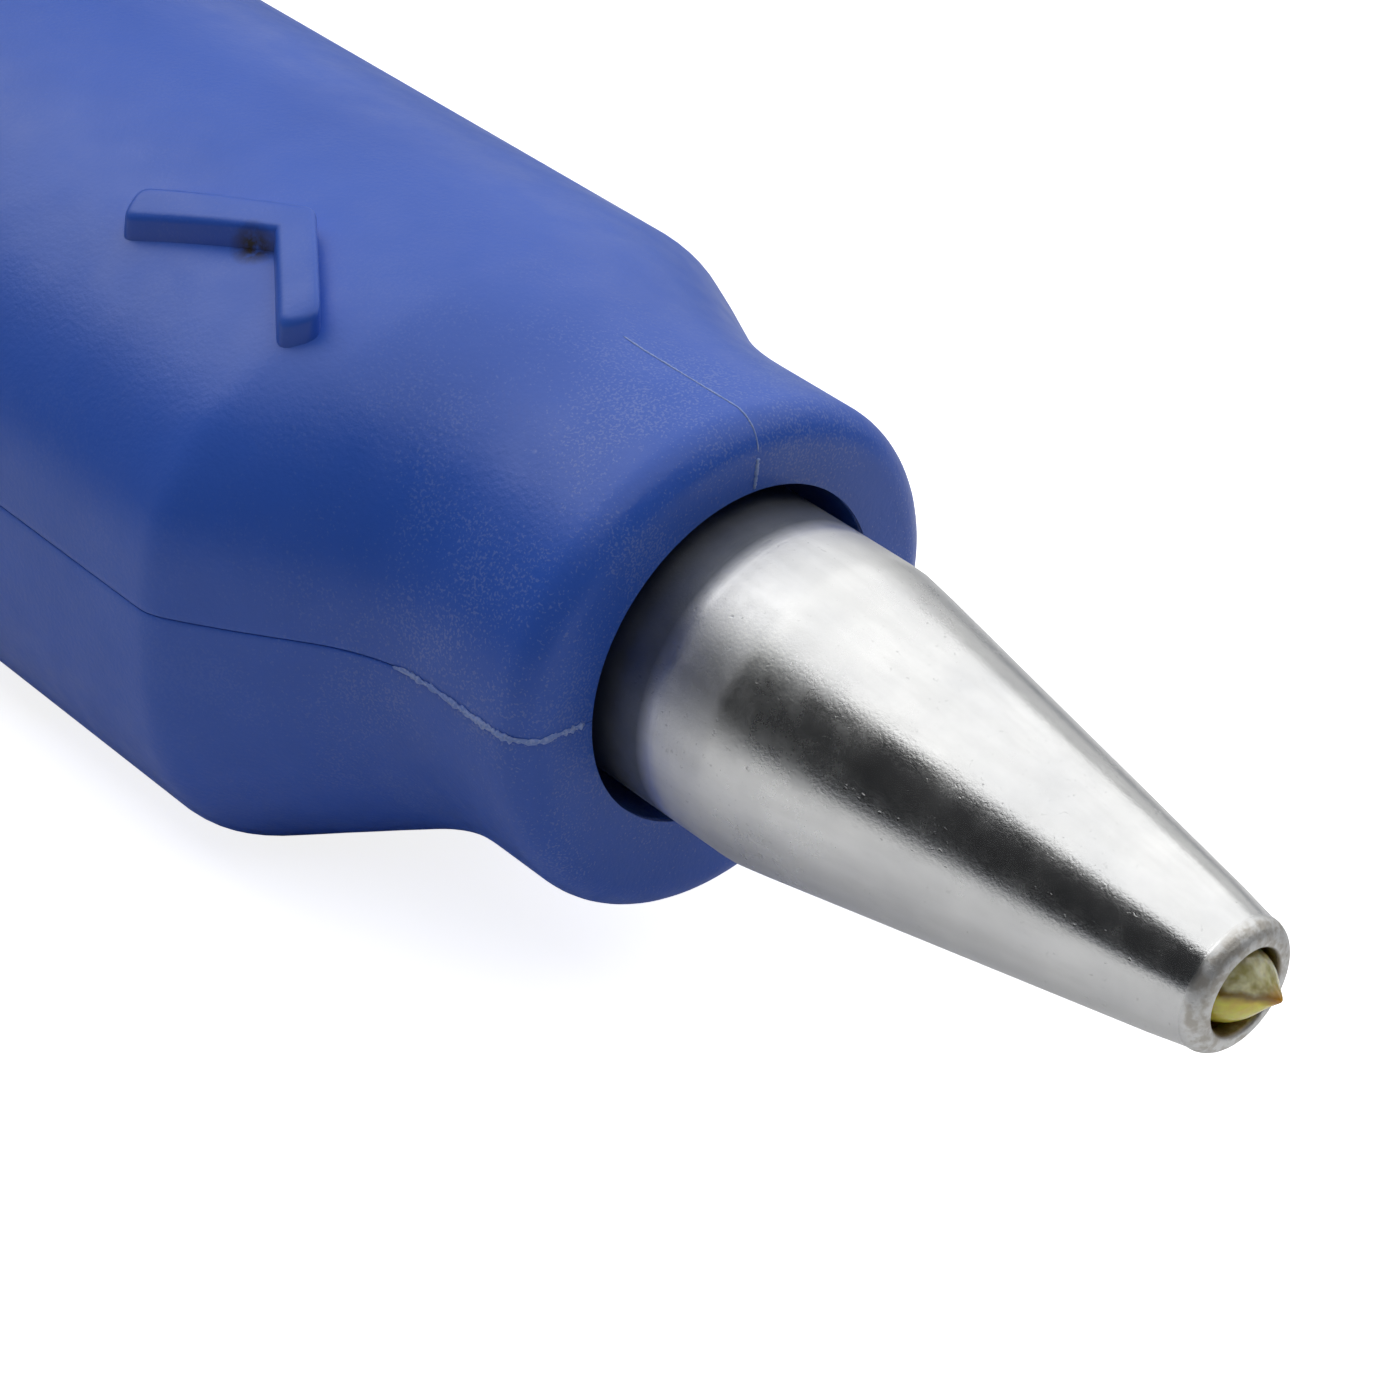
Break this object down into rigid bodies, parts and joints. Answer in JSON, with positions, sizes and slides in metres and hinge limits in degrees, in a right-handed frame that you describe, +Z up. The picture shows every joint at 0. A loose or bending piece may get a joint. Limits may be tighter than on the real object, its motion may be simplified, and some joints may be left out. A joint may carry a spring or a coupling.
{
  "type": "three-d printing pen",
  "caption": "Hand-held filament extruder in a clamshell plastic case, with a metal cone nozzle shroud, feed buttons, speed slider and geared filament drive.",
  "frame": {"origin": "middle of the pen's box, on the flat underside that it lies on", "axes": "+X along the nozzle towards the tip, +Z up from the flat underside, +Y to the left"},
  "size_m": [0.178, 0.0284, 0.0261],
  "materials": {
    "case_plastic": "satin moulded",
    "shroud_metal": "turned and tumbled, bright",
    "brass": "machined",
    "filament_plastic": "glossy, set from the melt",
    "ceramic": "fired",
    "steel": "plain",
    "white_plastic": "waxy",
    "black_plastic": "moulded",
    "circuit_board": "solder mask",
    "button_plastic": "fine texture",
    "clear_plastic": "clear"
  },
  "bodies": {
    "case": {"upper_shell": "case_plastic", "lower_shell": "case_plastic", "rear_cap": "case_plastic", "nozzle_shroud": "shroud_metal", "nozzle": "brass", "plastic_bead": "filament_plastic", "heater_sleeve": "ceramic", "thermistor": "filament_plastic", "heat_break": "steel", "insulator_ring": "white_plastic", "front_guide_tube": "white_plastic", "rear_guide_tube": "white_plastic", "gearbox": "steel", "motor": "steel", "pivot_bracket": "steel", "arm_pivot_pin": "steel", "idler_spring": "steel", "control_board": "circuit_board", "power_board": "circuit_board", "feed_switch": "black_plastic", "reverse_switch": "black_plastic", "slide_pot": "steel", "status_lamp": "clear_plastic", "light_pipe": "clear_plastic", "power_socket": "black_plastic", "inlet_bush": "brass", "case_screw_front_left": "steel", "case_screw_front_right": "steel", "case_screw_rear_left": "steel", "case_screw_rear_right": "steel"},
    "feed_button": {"feed_button": "button_plastic"},
    "reverse_button": {"reverse_button": "button_plastic"},
    "speed_slider": {"speed_slider": "button_plastic"},
    "drive": {"drive_gear": "brass", "drive_shaft": "steel"},
    "idler_arm": {"idler_arm": "black_plastic", "idler_pin": "steel"},
    "idler_bearing": {"idler_bearing": "steel"}
  },
  "joints": [
    {"name": "feed_press", "type": "slide", "parent": "case", "child": "feed_button", "axis": [0, 0, -1], "range_m": [0, 0.0008], "stiffness_N_per_m": 900, "springref_m": -0.0012},
    {"name": "reverse_press", "type": "slide", "parent": "case", "child": "reverse_button", "axis": [0, 0, -1], "range_m": [0, 0.0008], "stiffness_N_per_m": 900, "springref_m": -0.0012},
    {"name": "speed_slide", "type": "slide", "parent": "case", "child": "speed_slider", "axis": [1, 0, 0], "range_m": [-0.004, 0.004]},
    {"name": "drive_spin", "type": "hinge", "parent": "case", "child": "drive", "pos_m": [-0.01093, 0, 0.00777], "axis": [0, 1, 0], "continuous": true},
    {"name": "arm_lift", "type": "hinge", "parent": "case", "child": "idler_arm", "pos_m": [-0.02042, 0, 0.01833], "axis": [0, 1, 0], "range_deg": [-4, 0], "stiffness_Nm_per_rad": 0.02, "springref_deg": 5.73, "deforming": ["idler_spring"]},
    {"name": "idler_spin", "type": "hinge", "parent": "idler_arm", "child": "idler_bearing", "pos_m": [-0.01093, 0, 0.01713], "axis": [0, 1, 0], "continuous": true}
  ],
  "couplings": [
    {"joint": "idler_spin", "follows": "drive_spin", "ratio": -1.5}
  ]
}
